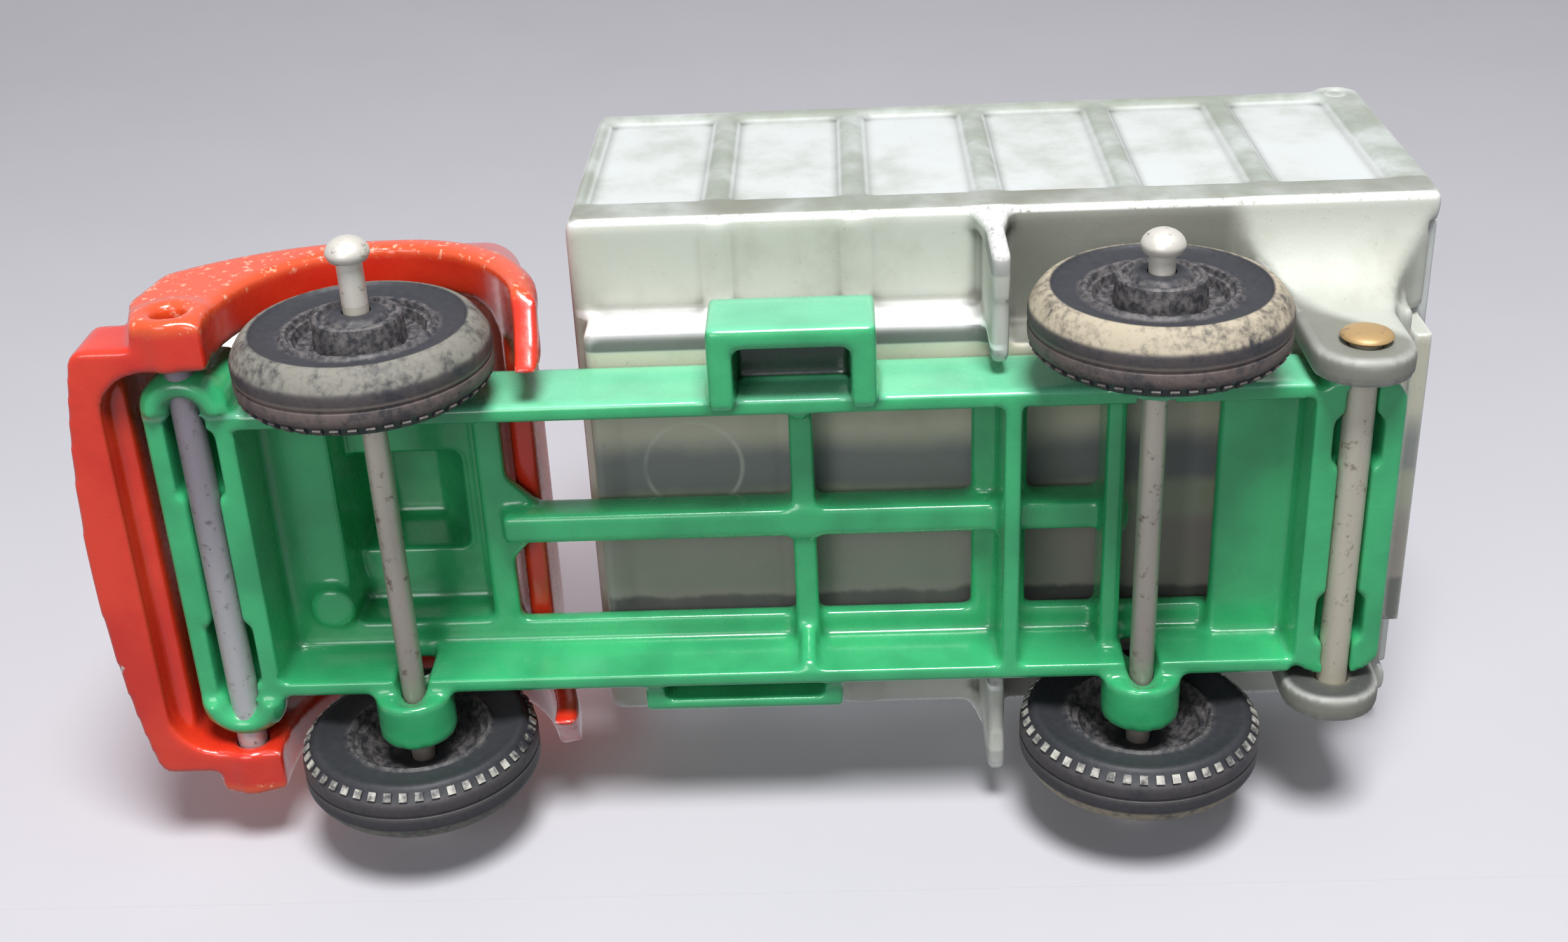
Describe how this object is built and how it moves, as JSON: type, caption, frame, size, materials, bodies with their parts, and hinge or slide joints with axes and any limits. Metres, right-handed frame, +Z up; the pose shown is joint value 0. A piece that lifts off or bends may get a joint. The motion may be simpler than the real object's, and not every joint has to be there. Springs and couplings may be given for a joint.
{
  "type": "toy tipper truck",
  "caption": "Small die-cast toy tipper truck: ribbed tipping hopper with a top-hung tailgate, tilting cab, open ribbed base and plastic wheels.",
  "frame": {"origin": "middle of the bounding box on the ground plane, with the truck standing on its wheels", "axes": "+Z up, +X to the truck's left side, -Y towards its front"},
  "size_m": [0.0336, 0.0668, 0.0315],
  "materials": {
    "green_enamel": "gloss stove enamel on a zinc casting",
    "red_enamel": "gloss stove enamel on a zinc casting",
    "silver_paint": "satin aluminium-coloured paint on a zinc casting",
    "clear_plastic": "clear moulded polystyrene",
    "steel": "plain drawn steel, tarnished",
    "brass_rivet": "dull tinned brass",
    "black_plastic": "black moulded plastic, dusty on the shoulders"
  },
  "bodies": {
    "base": {"chassis": "green_enamel", "cab_hinge_pin": "steel"},
    "cab": {"cab_shell": "red_enamel", "cab_glazing": "clear_plastic"},
    "hopper_body": {"hopper": "silver_paint", "hopper_hinge_pin": "brass_rivet"},
    "gate": {"tailgate": "silver_paint"},
    "front_axle_set": {"front_axle": "steel"},
    "rear_axle_set": {"rear_axle": "steel"},
    "front_wheel_left_body": {"front_wheel_left": "black_plastic"},
    "front_wheel_right_body": {"front_wheel_right": "black_plastic"},
    "rear_wheel_left_body": {"rear_wheel_left": "black_plastic"},
    "rear_wheel_right_body": {"rear_wheel_right": "black_plastic"}
  },
  "joints": [
    {"name": "cab_tilt", "type": "hinge", "parent": "base", "child": "cab", "pos_m": [0, -0.0275, 0.0061], "axis": [1, 0, 0], "range_deg": [0, 60]},
    {"name": "hopper_tip", "type": "hinge", "parent": "base", "child": "hopper_body", "pos_m": [0, 0.0283, 0.0061], "axis": [-1, 0, 0], "range_deg": [0, 50]},
    {"name": "tailgate_swing", "type": "hinge", "parent": "hopper_body", "child": "gate", "pos_m": [0, 0.03205, 0.0302], "axis": [1, 0, 0], "range_deg": [0, 75]},
    {"name": "front_axle_spin", "type": "hinge", "parent": "base", "child": "front_axle_set", "pos_m": [0, -0.01865, 0.0061], "axis": [1, 0, 0], "continuous": true},
    {"name": "rear_axle_spin", "type": "hinge", "parent": "base", "child": "rear_axle_set", "pos_m": [0, 0.01865, 0.0061], "axis": [1, 0, 0], "continuous": true},
    {"name": "front_wheel_left_spin", "type": "hinge", "parent": "front_axle_set", "child": "front_wheel_left_body", "pos_m": [0.011, -0.01865, 0.0061], "axis": [1, 0, 0], "continuous": true},
    {"name": "front_wheel_right_spin", "type": "hinge", "parent": "front_axle_set", "child": "front_wheel_right_body", "pos_m": [-0.011, -0.01865, 0.0061], "axis": [1, 0, 0], "continuous": true},
    {"name": "rear_wheel_left_spin", "type": "hinge", "parent": "rear_axle_set", "child": "rear_wheel_left_body", "pos_m": [0.011, 0.01865, 0.0061], "axis": [1, 0, 0], "continuous": true},
    {"name": "rear_wheel_right_spin", "type": "hinge", "parent": "rear_axle_set", "child": "rear_wheel_right_body", "pos_m": [-0.011, 0.01865, 0.0061], "axis": [1, 0, 0], "continuous": true}
  ]
}
